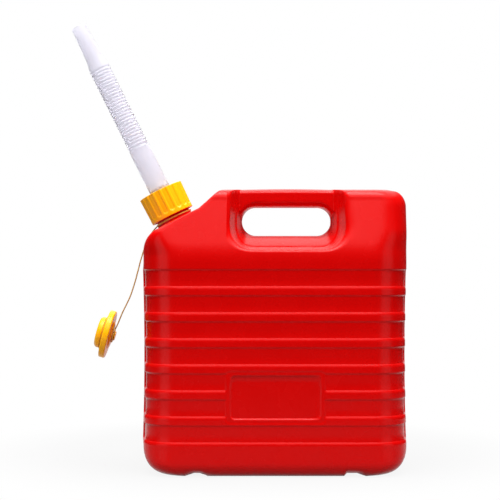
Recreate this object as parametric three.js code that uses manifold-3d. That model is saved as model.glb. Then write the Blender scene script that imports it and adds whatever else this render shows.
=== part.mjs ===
// Plastic fuel can with a slanted neck, collar nut, flexible pouring spout and tethered stopper.
// Millimetres, +Z up. Origin at the middle of the base; +X is right and -Y is the front.

import * as THREE from 'three';
import { mergeVertices } from 'three/addons/utils/BufferGeometryUtils.js';
import Module from 'manifold-3d';

const wasm = await Module();
wasm.setup();

const degrees = THREE.MathUtils.degToRad;

// Can body
const BODY_WIDTH = 288;
const BODY_DEPTH = 150;
const WALL = 1.8;
const PLAN_CORNER = 38;
const BASE_SIDE_RADIUS = 30;
const BASE_FRONT_RADIUS = 14;
const WAIST_INSET = 1.5;

// Stiffening ribs with recessed bands between them
const RIB_COUNT = 6;
const RIB_PITCH = 27.83;
const RIB_HEIGHT = 8.8;
const BASE_BAND_TOP = 36.2;
const BAND_DEPTH = 2.5;
const BAND_EDGE = 1.25;
const STRIP_HALF = 12;
const STRIP_RAMP = 2.5;
const SHOULDER_EDGE = BASE_BAND_TOP + (RIB_COUNT + 1) * RIB_PITCH - RIB_HEIGHT;

// Shoulder above the ribs, leaning in from its crease
const CREASE_RISE = 18.79;
const CREASE_HEIGHT = SHOULDER_EDGE + CREASE_RISE;
const SHOULDER_RISE = 67.5;
const SHOULDER_TOP = CREASE_HEIGHT + SHOULDER_RISE;
const SHOULDER_TILT = degrees(14);
const TOP_EDGE_RADIUS = 10;
const TOP_CORNER_RADIUS = 18.5;
const TOP_CROWN = 3.2;

// Slanted left shoulder, with the neck's foot at NECK_X, NECK_Z
const NECK_INSET = 34;
const NECK_RISE = 34.2;
const NECK_X = NECK_INSET - BODY_WIDTH / 2;
const NECK_Z = CREASE_HEIGHT + NECK_RISE;
const NECK_TILT = degrees(26.5);
const LEFT_ARC_RADIUS = 28;
const CHAMFER_RUN = 27.5;
const CHAMFER_X = NECK_X + CHAMFER_RUN;
const CHAMFER_ANGLE = degrees(42.3);
const CHAMFER_TOP_RADIUS = 12;

// Plain label panel in its frame
const PANEL_WIDTH = 96.6;
const PANEL_RISE = 26.3;
const PANEL_HEIGHT = 46;
const PANEL_LOW = BASE_BAND_TOP + PANEL_RISE;
const PANEL_HIGH = PANEL_LOW + PANEL_HEIGHT;
const PANEL_DEPTH = 2;
const PANEL_FRAME = 5;
const PANEL_CORNER = 5;
const PANEL_SET_BACK = 0.3;

// Carrying handle: finger hole, funnel and bar
const LEFT_POST = 46.3;
const RIGHT_POST = 80.9;
const HOLE_RISE = 19.5;
const HOLE_HEIGHT = 31.3;
const HOLE_LEFT = CHAMFER_X + LEFT_POST;
const HOLE_RIGHT = BODY_WIDTH / 2 - RIGHT_POST;
const HOLE_LOW = CREASE_HEIGHT + HOLE_RISE;
const HOLE_HIGH = HOLE_LOW + HOLE_HEIGHT;
const THROAT_DEPTH = 30;
const THROAT_SPREAD = 6;
const THROAT_DROP = 12.7;
const THROAT_CORNER = 15;
const MOUTH_SPREAD = 6;
const MOUTH_DROP = 6.5;
const MOUTH_CORNER = 20;
const BAR_HEIGHT = 21;
const BAR_HALF_DEPTH = 18;
const BAR_EDGE_RADIUS = 8;
const BAR_WALL = 2.5;
const BAR_ROOT = 14;

// Grooves across the base
const GROOVE_INSET = 59.5;
const GROOVE_X = BODY_WIDTH / 2 - GROOVE_INSET;
const GROOVE_WIDTH = 22;
const GROOVE_DEPTH = 3.3;

// Neck, thread and the stack that the collar nut holds down
const FIT_GAP = 0.3;
const NECK_RADIUS = 19.6;
const NECK_WALL = 1.9;
const NECK_HEIGHT = 32.2;
const FOOT_HEIGHT = 5;
const FOOT_STEP = 1;
const THREAD_PITCH = 5;
const THREAD_TURNS = 2;
const THREAD_HEIGHT = 1.4;
const THREAD_ROOT_WIDTH = 2.4;
const THREAD_CREST_WIDTH = 1.1;
const THREAD_TOP_LAND = 4;
const THREAD_CLEARANCE = 0.4;
const GASKET_THICK = 1.8;
const GASKET_LAND = 1;
const FLANGE_THICK = 2;

// Collar nut
const NUT_HEIGHT = 30.9;
const NUT_TOP_RADIUS = 25.5;
const NUT_LOW_RADIUS = 24.75;
const NUT_LIP = 3;
const NUT_CHAMFER = 1.1;
const NUT_RIM = 3.4;
const FLUTE_COUNT = 18;
const FLUTE_DEPTH = 0.8;
const FLUTE_SHARE = 0.66;
const LIP_CLEARANCE = 0.5;

// Pouring spout, one moulding whose corrugated middle bends
const SPOUT_WALL = 1.2;
const SPOUT_FOOT_RADIUS = 12;
const SPOUT_RADIUS = 11.2;
const LOWER_TUBE = 56;
const BELLOWS_LENGTH = 95;
const BELLOWS_RIBS = 26;
const BELLOWS_RIB_DEPTH = 1.4;
const CONE_LENGTH = 14;
const CONE_TOP_RADIUS = 9;
const TIP_LENGTH = 41;
const TIP_RADIUS = 7.75;

// Tether: ring on the neck, flat strap and eyelet
const RING_THICK = 1.5;
const RING_WIDTH = 1.4;
const RING_CLEARANCE = 0.4;
const STRAP_WIDTH = 6;
const STRAP_THICK = 1.3;
const EYELET_RADIUS = 8;

// Stopper, hanging on the tether
const STOPPER_REACH = 73.8;
const STOPPER_DROP = 125.85;
const STOPPER_X = NECK_X - STOPPER_REACH;
const STOPPER_Z = NECK_Z - STOPPER_DROP;
const STOPPER_TILT = degrees(15.25);
const STOPPER_RADIUS = 27;
const STOPPER_THICK = 7;
const STOPPER_EDGE = 1.4;
const PLUG_LENGTH = 8.2;
const PLUG_CLEARANCE = 0.25;
const PLUG_CHAMFER = 2.4;
const SEAL_THICK = 1.6;
const SEAL_SEAT = 1.8;
const SEAL_PROUD = 0.9;
const PAD_RADIUS = 12;
const PAD_HEIGHT = 2.2;
const STUD_RADIUS = 3.5;
const STUD_HEAD_RADIUS = 5.25;
const STUD_HEAD_THICK = 1.4;

const CORNER_STEPS = 5;
const ROUND_STEPS = 32;
const SPOUT_STEPS = 16;
const BELLOWS_STEPS = 12;

// The strap's line in the XZ plane, from the ring's edge down to the stopper's stud,
// measured from the neck's foot.
const TAB_ROUTE = [
  [-20.6, -3.5],
  [-23.6, -6.3],
  [-26.4, -9.7],
  [-28.9, -13.3],
].map(([x, z]) => [NECK_X + x, NECK_Z + z]);
const STRAP_ROUTE = [
  [-29.36, -14.07],
  [-32.6, -20.3],
  [-35.9, -28.6],
  [-38.6, -37.3],
  [-40.6, -44],
  [-42.3, -50.9],
  [-44.1, -57.6],
  [-45.7, -64.2],
  [-48.9, -74.3],
  [-52.1, -83.3],
  [-55.5, -90.6],
  [-58.8, -96.8],
  [-60.8, -101.4],
  [-62.6, -106],
  [-65.9, -114.2],
  [-68.3, -118.6],
].map(([x, z]) => [NECK_X + x, NECK_Z + z]);

// Geometry to solid and back. Degenerate triangles are dropped and faces are turned outwards.
function solid(geometry) {
  const bare = geometry.clone();
  bare.deleteAttribute('normal');
  bare.deleteAttribute('uv');
  const merged = mergeVertices(bare, 1e-4);
  const place = merged.getAttribute('position');
  const index = merged.getIndex().array;
  const corner = [new THREE.Vector3(), new THREE.Vector3(), new THREE.Vector3()];
  const kept = [];
  let volume = 0;
  for (let i = 0; i < index.length; i += 3) {
    const [a, b, c] = index.slice(i, i + 3);
    if (a !== b && b !== c && c !== a) {
      kept.push([a, b, c]);
      [a, b, c].forEach((n, k) => corner[k].fromBufferAttribute(place, n));
      volume += corner[0].dot(corner[1].clone().cross(corner[2]));
    }
  }
  const faces = volume < 0 ? kept.map(([a, b, c]) => [a, c, b]) : kept;
  return new wasm.Manifold(new wasm.Mesh({
    numProp: 3,
    vertProperties: Float32Array.from(place.array),
    triVerts: Uint32Array.from(faces.flat()),
  }));
}

function geometryOf(body) {
  const mesh = body.getMesh();
  const geometry = new THREE.BufferGeometry();
  geometry.setAttribute('position', new THREE.BufferAttribute(mesh.vertProperties, 3));
  geometry.setIndex(new THREE.BufferAttribute(mesh.triVerts, 1));
  geometry.computeVertexNormals();
  return geometry;
}

// Skin over a row of rings with equal point counts, closed by a fan at each end.
function loft(rings) {
  const size = rings[0].length;
  const points = rings.flat();
  const faces = [];
  for (let row = 0; row + 1 < rings.length; row += 1) {
    for (let i = 0; i < size; i += 1) {
      const a = row * size + i;
      const b = row * size + ((i + 1) % size);
      faces.push(a, b, b + size, a, b + size, a + size);
    }
  }
  [0, rings.length - 1].forEach((row, end) => {
    const middle = rings[row].reduce((sum, p) => sum.add(p), new THREE.Vector3()).divideScalar(size);
    points.push(middle);
    for (let i = 0; i < size; i += 1) {
      const a = row * size + i;
      const b = row * size + ((i + 1) % size);
      faces.push(points.length - 1, ...(end === 0 ? [b, a] : [a, b]));
    }
  });
  const geometry = new THREE.BufferGeometry().setFromPoints(points);
  geometry.setIndex(faces);
  return geometry;
}

// A turned solid about the Z axis from [radius, height] pairs that start and end on the axis or meet.
function turned(profile, steps) {
  const points = profile.map(([radius, height]) => new THREE.Vector2(radius, height));
  return new THREE.LatheGeometry(points, steps).rotateX(Math.PI / 2);
}

function tube(outer, inner, steps) {
  const profile = [...outer, ...inner.slice().reverse(), outer[0]];
  return turned(profile, steps);
}

function cylinder(radius, low, high, steps) {
  return turned([[0, low], [radius, low], [radius, high], [0, high]], steps);
}

// A ridge with a trapezium section that climbs along a helix and fades out at both ends.
function helixRidge(root, crest, start, turns) {
  const steps = Math.round(turns * ROUND_STEPS);
  const rings = [];
  for (let i = 0; i <= steps; i += 1) {
    const angle = (i / ROUND_STEPS) * 2 * Math.PI;
    const fade = Math.min(1, (Math.min(i, steps - i) + 0.5) / (ROUND_STEPS / 8));
    const tip = root + (crest - root) * fade;
    const sunk = root - Math.sign(crest - root) * THREAD_CLEARANCE;
    const height = start + (i / ROUND_STEPS) * THREAD_PITCH;
    const section = [
      [sunk, -THREAD_ROOT_WIDTH / 2],
      [tip, -THREAD_CREST_WIDTH / 2],
      [tip, THREAD_CREST_WIDTH / 2],
      [sunk, THREAD_ROOT_WIDTH / 2],
    ];
    rings.push(section.map(([radius, rise]) => new THREE.Vector3(
      radius * Math.cos(angle),
      radius * Math.sin(angle),
      height + rise,
    )));
  }
  return loft(rings);
}

// A prism from an outline in XZ, between two depths along Y.
function prism(outline, near, far) {
  const shape = new THREE.Shape(outline.map(([x, z]) => new THREE.Vector2(x, z)));
  const geometry = new THREE.ExtrudeGeometry(shape, { depth: far - near, bevelEnabled: false });
  return geometry.rotateX(Math.PI / 2).translate(0, far, 0);
}

function arc(x, z, radius, from, to, steps) {
  const points = [];
  for (let i = 0; i <= steps; i += 1) {
    const angle = degrees(from + ((to - from) * i) / steps);
    points.push([x + radius * Math.cos(angle), z + radius * Math.sin(angle)]);
  }
  return points;
}

function roundedBox(left, right, low, high, radius, steps) {
  return [
    ...arc(right - radius, high - radius, radius, 0, 90, steps),
    ...arc(left + radius, high - radius, radius, 90, 180, steps),
    ...arc(left + radius, low + radius, radius, 180, 270, steps),
    ...arc(right - radius, low + radius, radius, 270, 360, steps),
  ];
}

// Body outline. Each edge is given at a height, for a skin that lies a given inset inside the outside.
const HALF_WIDTH = BODY_WIDTH / 2;
const HALF_DEPTH = BODY_DEPTH / 2;
const ARC_X = LEFT_ARC_RADIUS - HALF_WIDTH;
const ARC_Z = NECK_Z - (LEFT_ARC_RADIUS - (ARC_X - NECK_X) * Math.sin(NECK_TILT)) / Math.cos(NECK_TILT);
const CHAMFER_Z = NECK_Z + (CHAMFER_X - NECK_X) * Math.tan(NECK_TILT);

function arcAcross(radius, offset) {
  return Math.sqrt(Math.max(0, radius * radius - offset * offset));
}

function slantedX(x, z, angle, height, inset) {
  return x + ((height - z) * Math.cos(angle) + inset) / Math.sin(angle);
}

function sideInset(height, inset) {
  const middle = (BASE_BAND_TOP + SHOULDER_EDGE) / 2;
  const away = (height - middle) / (middle - BASE_BAND_TOP);
  const waist = WAIST_INSET * Math.max(0, 1 - away * away);
  const radius = BASE_SIDE_RADIUS - inset;
  const below = Math.max(0, BASE_SIDE_RADIUS - height);
  return waist + inset + radius - arcAcross(radius, below);
}

function leftEdge(height, inset) {
  const bend = LEFT_ARC_RADIUS - inset;
  if (height <= ARC_Z) {
    return sideInset(height, inset) - HALF_WIDTH;
  }
  if (height <= ARC_Z + bend * Math.cos(NECK_TILT)) {
    return ARC_X - arcAcross(bend, height - ARC_Z);
  }
  const round = CHAMFER_TOP_RADIUS - inset;
  const roundZ = SHOULDER_TOP - CHAMFER_TOP_RADIUS;
  if (height > roundZ + round * Math.cos(CHAMFER_ANGLE)) {
    const roundX = slantedX(CHAMFER_X, CHAMFER_Z, CHAMFER_ANGLE, roundZ, CHAMFER_TOP_RADIUS);
    return roundX - arcAcross(round, height - roundZ);
  }
  const seat = slantedX(NECK_X, NECK_Z, NECK_TILT, height, inset);
  const chamfer = slantedX(CHAMFER_X, CHAMFER_Z, CHAMFER_ANGLE, height, inset);
  return Math.min(seat, chamfer);
}

function rightEdge(height, inset) {
  const cornerZ = SHOULDER_TOP - TOP_CORNER_RADIUS;
  if (height <= cornerZ) {
    return HALF_WIDTH - sideInset(height, inset);
  }
  return HALF_WIDTH - TOP_CORNER_RADIUS + arcAcross(TOP_CORNER_RADIUS - inset, height - cornerZ);
}

function leaningDepth(height) {
  return HALF_DEPTH - Math.max(0, height - CREASE_HEIGHT) * Math.tan(SHOULDER_TILT);
}

function halfDepth(height, inset) {
  const roundZ = SHOULDER_TOP - TOP_EDGE_RADIUS;
  const round = TOP_EDGE_RADIUS - inset;
  if (height > roundZ + round * Math.sin(SHOULDER_TILT)) {
    const roundY = leaningDepth(roundZ) - TOP_EDGE_RADIUS / Math.cos(SHOULDER_TILT);
    return roundY + arcAcross(round, height - roundZ);
  }
  const radius = BASE_FRONT_RADIUS - inset;
  const below = Math.max(0, BASE_FRONT_RADIUS - height);
  return leaningDepth(height) - inset - (radius - arcAcross(radius, below));
}

// One level ring of the body. The band's recess leaves a flat strip along each side.
function bodyRing(height, inset, band, edges) {
  const left = edges ? edges.left : leftEdge(height, inset);
  const right = edges ? edges.right : rightEdge(height, inset);
  const deep = edges ? edges.deep : halfDepth(height, inset);
  const radius = Math.min(PLAN_CORNER - inset - (HALF_DEPTH - inset - deep), (right - left) / 2.5);
  const round = Math.max(radius, 0.3 * deep) - band;
  const outline = roundedBox(left + band, right - band, band - deep, deep - band, round, CORNER_STEPS);
  const quarter = CORNER_STEPS + 1;
  const strip = Math.min(STRIP_HALF, 0.4 * (deep - round));
  const ramp = Math.min(STRIP_RAMP, 0.4 * (deep - round));
  const points = [
    [right, -strip],
    [right, strip],
    [right - band, strip + ramp],
    ...outline.slice(0, 2 * quarter),
    [left + band, strip + ramp],
    [left, strip],
    [left, -strip],
    [left + band, -strip - ramp],
    ...outline.slice(2 * quarter),
    [right - band, -strip - ramp],
  ];
  return points.map(([x, y]) => new THREE.Vector3(x, y, height));
}

function shoulderLevels(inset) {
  const bend = LEFT_ARC_RADIUS - inset;
  const arcLevels = [15, 30, 46].map((angle) => ARC_Z + bend * Math.sin(degrees(angle)));
  return [
    CREASE_HEIGHT,
    ...arcLevels,
    ARC_Z + bend * Math.cos(NECK_TILT),
    NECK_Z - inset,
    CHAMFER_Z - inset,
    SHOULDER_TOP - TOP_EDGE_RADIUS,
    SHOULDER_TOP - 0.5 * TOP_EDGE_RADIUS,
    SHOULDER_TOP - 0.2 * (TOP_EDGE_RADIUS - inset) - inset,
    SHOULDER_TOP - 0.05 * (TOP_EDGE_RADIUS - inset) - inset,
    SHOULDER_TOP - inset,
  ];
}

function baseLevels(inset) {
  return [0, 0.05, 0.15, 0.3, 0.47, 0.7, 1].map((share) => inset + share * (BASE_SIDE_RADIUS - inset));
}

function outsideRings() {
  const rings = baseLevels(0).map((height) => bodyRing(height, 0, 0));
  rings.push(bodyRing(BASE_BAND_TOP - BAND_EDGE, 0, 0));
  rings.push(bodyRing(BASE_BAND_TOP + BAND_EDGE, 0, BAND_DEPTH));
  for (let rib = 1; rib <= RIB_COUNT; rib += 1) {
    const top = BASE_BAND_TOP + rib * RIB_PITCH;
    const low = top - RIB_HEIGHT;
    rings.push(bodyRing(low - BAND_EDGE, 0, BAND_DEPTH));
    rings.push(bodyRing(low + BAND_EDGE, 0, 0));
    rings.push(bodyRing(top - BAND_EDGE, 0, 0));
    rings.push(bodyRing(top + BAND_EDGE, 0, BAND_DEPTH));
  }
  rings.push(bodyRing(SHOULDER_EDGE - BAND_EDGE, 0, BAND_DEPTH));
  rings.push(bodyRing(SHOULDER_EDGE + BAND_EDGE, 0, 0));
  shoulderLevels(0).forEach((height) => rings.push(bodyRing(height, 0, 0)));
  const top = {
    left: leftEdge(SHOULDER_TOP, 0),
    right: rightEdge(SHOULDER_TOP, 0),
    deep: halfDepth(SHOULDER_TOP, 0),
  };
  [0.5, 0.85, 1].forEach((share) => {
    const spread = Math.sqrt(1 - 0.96 * share * share);
    const edges = {
      left: top.left + (1 - spread) * TOP_EDGE_RADIUS,
      right: top.right - (1 - spread) * TOP_CORNER_RADIUS,
      deep: top.deep * spread,
    };
    rings.push(bodyRing(SHOULDER_TOP + TOP_CROWN * share, 0, 0, edges));
  });
  return rings;
}

function insideRings() {
  const lead = WALL + BAND_EDGE;
  const rings = baseLevels(WALL).map((height) => bodyRing(height, WALL, 0));
  rings.push(bodyRing(BASE_BAND_TOP - lead - BAND_DEPTH, WALL, 0));
  rings.push(bodyRing(BASE_BAND_TOP - lead, WALL, BAND_DEPTH));
  rings.push(bodyRing((BASE_BAND_TOP + SHOULDER_EDGE) / 2, WALL, BAND_DEPTH));
  rings.push(bodyRing(SHOULDER_EDGE + lead, WALL, BAND_DEPTH));
  rings.push(bodyRing(SHOULDER_EDGE + lead + BAND_DEPTH, WALL, 0));
  shoulderLevels(WALL).forEach((height) => rings.push(bodyRing(height, WALL, 0)));
  return rings;
}

// Open-topped funnel that cuts the handle out of the shoulder, grown by a margin for the wall round it.
const OPEN_TOP = SHOULDER_TOP + 4 * TOP_EDGE_RADIUS;
const HOLE_RADIUS = HOLE_HEIGHT / 2;

function funnel(margin) {
  const reach = HALF_DEPTH + 2 * BASE_SIDE_RADIUS;
  const slope = MOUTH_SPREAD / (HALF_DEPTH - THROAT_DEPTH);
  const drop = MOUTH_DROP / (HALF_DEPTH - THROAT_DEPTH);
  const outer = reach - THROAT_DEPTH;
  const stations = [
    [reach, THROAT_SPREAD + slope * outer, THROAT_DROP + drop * outer, MOUTH_CORNER],
    [HALF_DEPTH, THROAT_SPREAD + MOUTH_SPREAD, THROAT_DROP + MOUTH_DROP, MOUTH_CORNER],
    [THROAT_DEPTH, THROAT_SPREAD, THROAT_DROP, THROAT_CORNER],
    [0, 0, 0, HOLE_RADIUS],
  ];
  const front = stations.map(([depth, ...sizes]) => [-depth, ...sizes]);
  const back = stations.slice(0, -1).reverse();
  return loft([...front, ...back].map(([y, spread, fall, radius]) => {
    const left = HOLE_LEFT - spread - margin;
    const right = HOLE_RIGHT + spread + margin;
    const low = HOLE_LOW - fall - margin;
    const round = radius + margin;
    const outline = [
      [right, OPEN_TOP],
      [left, OPEN_TOP],
      ...arc(left + round, low + round, round, 180, 270, CORNER_STEPS),
      ...arc(right - round, low + round, round, 270, 360, CORNER_STEPS),
    ];
    return outline.map(([x, z]) => new THREE.Vector3(x, y, z));
  }));
}

// Handle bar along X, with its section drawn in YZ.
function barSolid(margin, from, to, low) {
  const high = HOLE_HIGH + BAR_HEIGHT - margin;
  const deep = BAR_HALF_DEPTH - margin;
  const round = BAR_EDGE_RADIUS - margin;
  const section = [
    [deep, low],
    ...arc(deep - round, high - round, round, 0, 90, CORNER_STEPS),
    ...arc(round - deep, high - round, round, 90, 180, CORNER_STEPS),
    [-deep, low],
  ];
  return loft([from, to].map((x) => section.map(([y, z]) => new THREE.Vector3(x, y, z))));
}

function baseGroove(x, margin) {
  const half = GROOVE_WIDTH / 2 + margin;
  const depth = GROOVE_DEPTH + margin;
  const outline = [
    [x - half, -depth],
    [x + half, -depth],
    [x + half, 0],
    [x + 0.6 * half, 0.8 * depth],
    [x + 0.3 * half, depth],
    [x - 0.3 * half, depth],
    [x - 0.6 * half, 0.8 * depth],
    [x - half, 0],
  ];
  return prism(outline, -2 * HALF_DEPTH, 2 * HALF_DEPTH);
}

// Frames of the two turned groups: the neck's axis, and the stopper's axis towards its plug.
const neckFrame = new THREE.Group();
neckFrame.position.set(NECK_X, 0, NECK_Z);
neckFrame.rotation.y = -NECK_TILT;
neckFrame.updateMatrixWorld(true);

const stopperFrame = new THREE.Group();
stopperFrame.position.set(STOPPER_X, 0, STOPPER_Z);
stopperFrame.rotation.y = STOPPER_TILT - Math.PI / 2;
stopperFrame.updateMatrixWorld(true);

const NECK_BORE = NECK_RADIUS - NECK_WALL;
const THREAD_CREST = NECK_RADIUS + THREAD_HEIGHT;
const THREAD_START = NECK_HEIGHT - THREAD_TOP_LAND - THREAD_TURNS * THREAD_PITCH;

function canBody() {
  let body = solid(loft(outsideRings()));
  body = body.subtract(solid(funnel(0)));
  const fingerHole = roundedBox(HOLE_LEFT, HOLE_RIGHT, HOLE_LOW, HOLE_HIGH, HOLE_RADIUS, 2 * CORNER_STEPS);
  const bar = solid(barSolid(0, HOLE_LEFT - BAR_ROOT, HOLE_RIGHT + BAR_ROOT, HOLE_HIGH - HOLE_RADIUS));
  body = body.add(bar.subtract(solid(prism(fingerHole, -HALF_DEPTH, HALF_DEPTH))));

  const face = HALF_DEPTH - PANEL_SET_BACK;
  const half = PANEL_WIDTH / 2;
  const frame = roundedBox(-half - PANEL_FRAME, half + PANEL_FRAME, PANEL_LOW - PANEL_FRAME,
    PANEL_HIGH + PANEL_FRAME, PANEL_CORNER, CORNER_STEPS);
  const panel = roundedBox(-half, half, PANEL_LOW, PANEL_HIGH, PANEL_CORNER, CORNER_STEPS);
  [-1, 1].forEach((side) => {
    const back = side * (HALF_DEPTH - BAND_DEPTH - WALL / 2);
    const front = side * face;
    const floor = side * (face - PANEL_DEPTH);
    const clear = side * (HALF_DEPTH + WALL);
    body = body.add(solid(prism(frame, Math.min(back, front), Math.max(back, front))));
    body = body.subtract(solid(prism(panel, Math.min(floor, clear), Math.max(floor, clear))));
  });

  const neckProfile = [
    [0, -WALL],
    [NECK_RADIUS + FOOT_STEP, -WALL],
    [NECK_RADIUS + FOOT_STEP, FOOT_HEIGHT],
    [NECK_RADIUS, FOOT_HEIGHT],
    [NECK_RADIUS, NECK_HEIGHT],
    [0, NECK_HEIGHT],
  ];
  const thread = solid(helixRidge(NECK_RADIUS, THREAD_CREST, THREAD_START, THREAD_TURNS));
  const neck = solid(turned(neckProfile, ROUND_STEPS)).add(thread);
  body = body.add(solid(geometryOf(neck).applyMatrix4(neckFrame.matrixWorld)));

  let hollow = solid(loft(insideRings())).subtract(solid(funnel(WALL)));
  const root = BAR_ROOT + BAR_WALL;
  const core = barSolid(BAR_WALL, HOLE_LEFT - root, HOLE_RIGHT + root, HOLE_HIGH + BAR_WALL);
  hollow = hollow.add(solid(core));
  [-GROOVE_X, GROOVE_X].forEach((x) => {
    body = body.subtract(solid(baseGroove(x, 0)));
    hollow = hollow.subtract(solid(baseGroove(x, WALL)));
  });
  const bore = cylinder(NECK_BORE, -NECK_RADIUS / 2, NECK_HEIGHT + WALL, ROUND_STEPS);
  hollow = hollow.add(solid(bore.applyMatrix4(neckFrame.matrixWorld)));
  return geometryOf(body.subtract(hollow));
}

// Heights in the neck's stack, all in the neck's frame.
const GASKET_LOW = NECK_HEIGHT + FIT_GAP;
const FLANGE_LOW = GASKET_LOW + GASKET_THICK + FIT_GAP;
const LIP_LOW = FLANGE_LOW + FLANGE_THICK + FIT_GAP;
const NUT_TOP = LIP_LOW + NUT_LIP;
const NUT_LOW = NUT_TOP - NUT_HEIGHT;
const NUT_BORE = THREAD_CREST + THREAD_CLEARANCE;
const BELLOWS_LOW = NUT_TOP + LOWER_TUBE;
const BELLOWS_HIGH = BELLOWS_LOW + BELLOWS_LENGTH;
const TIP_HIGH = BELLOWS_HIGH + CONE_LENGTH + TIP_LENGTH;

// Collar nut: tapered cup with grip flutes that stop at a plain rim, a lip on top and a thread inside.
function nutRing(height, radius, flute) {
  const rings = [];
  for (let i = 0; i < FLUTE_COUNT; i += 1) {
    [0, 0.08, FLUTE_SHARE, FLUTE_SHARE + 0.08].forEach((share, corner) => {
      const angle = ((i + share) / FLUTE_COUNT) * 2 * Math.PI;
      const reach = radius - (corner === 1 || corner === 2 ? flute : 0);
      rings.push(new THREE.Vector3(reach * Math.cos(angle), reach * Math.sin(angle), height));
    });
  }
  return rings;
}

function collarNut() {
  const outside = solid(loft([
    nutRing(NUT_LOW, NUT_LOW_RADIUS - NUT_CHAMFER, 0),
    nutRing(NUT_LOW + NUT_CHAMFER, NUT_LOW_RADIUS, 0),
    nutRing(NUT_LOW + NUT_RIM, NUT_LOW_RADIUS, 0),
    nutRing(NUT_LOW + NUT_RIM + FLUTE_DEPTH, NUT_LOW_RADIUS, FLUTE_DEPTH),
    nutRing(NUT_TOP - FLUTE_DEPTH, NUT_TOP_RADIUS, FLUTE_DEPTH),
    nutRing(NUT_TOP, NUT_TOP_RADIUS - FLUTE_DEPTH / 2, FLUTE_DEPTH / 2),
  ]));
  const lipHole = SPOUT_FOOT_RADIUS + LIP_CLEARANCE;
  const inside = [
    [0, NUT_LOW - FIT_GAP],
    [NUT_BORE, NUT_LOW - FIT_GAP],
    [NUT_BORE, LIP_LOW],
    [lipHole, LIP_LOW],
    [lipHole, NUT_TOP + FIT_GAP],
    [0, NUT_TOP + FIT_GAP],
  ];
  const crest = NECK_RADIUS + THREAD_CLEARANCE;
  const start = THREAD_START + THREAD_PITCH / 2;
  const thread = solid(helixRidge(NUT_BORE, crest, start, THREAD_TURNS - 0.5));
  return geometryOf(outside.subtract(solid(turned(inside, ROUND_STEPS))).add(thread));
}

function spoutGasket() {
  const inner = NECK_BORE - GASKET_LAND;
  const high = GASKET_LOW + GASKET_THICK;
  return tube([[NECK_RADIUS, GASKET_LOW], [NECK_RADIUS, high]], [[inner, GASKET_LOW], [inner, high]],
    ROUND_STEPS);
}

function spoutBase() {
  const flange = NECK_RADIUS + THREAD_CLEARANCE / 2;
  const foot = SPOUT_FOOT_RADIUS;
  const outer = [
    [flange, FLANGE_LOW],
    [flange, FLANGE_LOW + FLANGE_THICK],
    [foot, FLANGE_LOW + FLANGE_THICK],
    [foot, NUT_TOP],
    [SPOUT_RADIUS, BELLOWS_LOW - FIT_GAP],
  ];
  const inner = [
    [foot - SPOUT_WALL, FLANGE_LOW],
    [foot - SPOUT_WALL, NUT_TOP],
    [SPOUT_RADIUS - SPOUT_WALL, BELLOWS_LOW - FIT_GAP],
  ];
  return tube(outer, inner, SPOUT_STEPS);
}

function spoutBellows() {
  const pitch = BELLOWS_LENGTH / BELLOWS_RIBS;
  const root = SPOUT_RADIUS - BELLOWS_RIB_DEPTH;
  const outer = [[root, BELLOWS_LOW]];
  const inner = [[root - SPOUT_WALL, BELLOWS_LOW]];
  for (let rib = 0; rib < BELLOWS_RIBS; rib += 1) {
    const low = BELLOWS_LOW + rib * pitch;
    outer.push([SPOUT_RADIUS, low + pitch / 2]);
    outer.push([root, low + pitch]);
    if (rib % 5 === 4) {
      inner.push([root - SPOUT_WALL, low + pitch]);
    }
  }
  inner.push([root - SPOUT_WALL, BELLOWS_HIGH]);
  return tube(outer, inner, BELLOWS_STEPS);
}

function spoutNozzle() {
  const outer = [
    [SPOUT_RADIUS, BELLOWS_HIGH + FIT_GAP],
    [CONE_TOP_RADIUS, BELLOWS_HIGH + CONE_LENGTH],
    [TIP_RADIUS, TIP_HIGH],
  ];
  const inner = outer.map(([radius, height]) => [radius - SPOUT_WALL, height]);
  return tube(outer, inner, SPOUT_STEPS);
}

// A flat strap along a line in the XZ plane, its width along Y.
function strap(route) {
  const line = route.map(([x, z]) => new THREE.Vector3(x, 0, z));
  return loft(line.map((point, i) => {
    const before = line[Math.max(0, i - 1)];
    const after = line[Math.min(line.length - 1, i + 1)];
    const along = after.clone().sub(before).normalize();
    const across = new THREE.Vector3(-along.z, 0, along.x).multiplyScalar(STRAP_THICK / 2);
    const wide = new THREE.Vector3(0, STRAP_WIDTH / 2, 0);
    return [[1, 1], [-1, 1], [-1, -1], [1, -1]].map(([a, b]) => point.clone()
      .addScaledVector(across, a)
      .addScaledVector(wide, b));
  }));
}

const RING_LOW = FOOT_HEIGHT + FIT_GAP;
const RING_INNER = NECK_RADIUS + RING_CLEARANCE;

function tetherRing() {
  const outer = RING_INNER + RING_WIDTH;
  const high = RING_LOW + RING_THICK;
  const ring = tube([[outer, RING_LOW], [outer, high]], [[RING_INNER, RING_LOW], [RING_INNER, high]],
    ROUND_STEPS);
  const tab = strap(TAB_ROUTE).applyMatrix4(neckFrame.matrixWorld.clone().invert());
  const clearNeck = cylinder(RING_INNER, 0, NECK_HEIGHT, ROUND_STEPS);
  return geometryOf(solid(tab).subtract(solid(clearNeck)).add(solid(ring)));
}

// Depths in the stopper's frame: 0 is its flat face on the can's side, the plug lies at positive depths.
const EYELET_DEPTH = -PAD_HEIGHT - FIT_GAP - STRAP_THICK;
const HEAD_DEPTH = EYELET_DEPTH - FIT_GAP;
const PLUG_RADIUS = NECK_BORE - PLUG_CLEARANCE;
const SEAL_INNER = PLUG_RADIUS - SEAL_SEAT;

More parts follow.
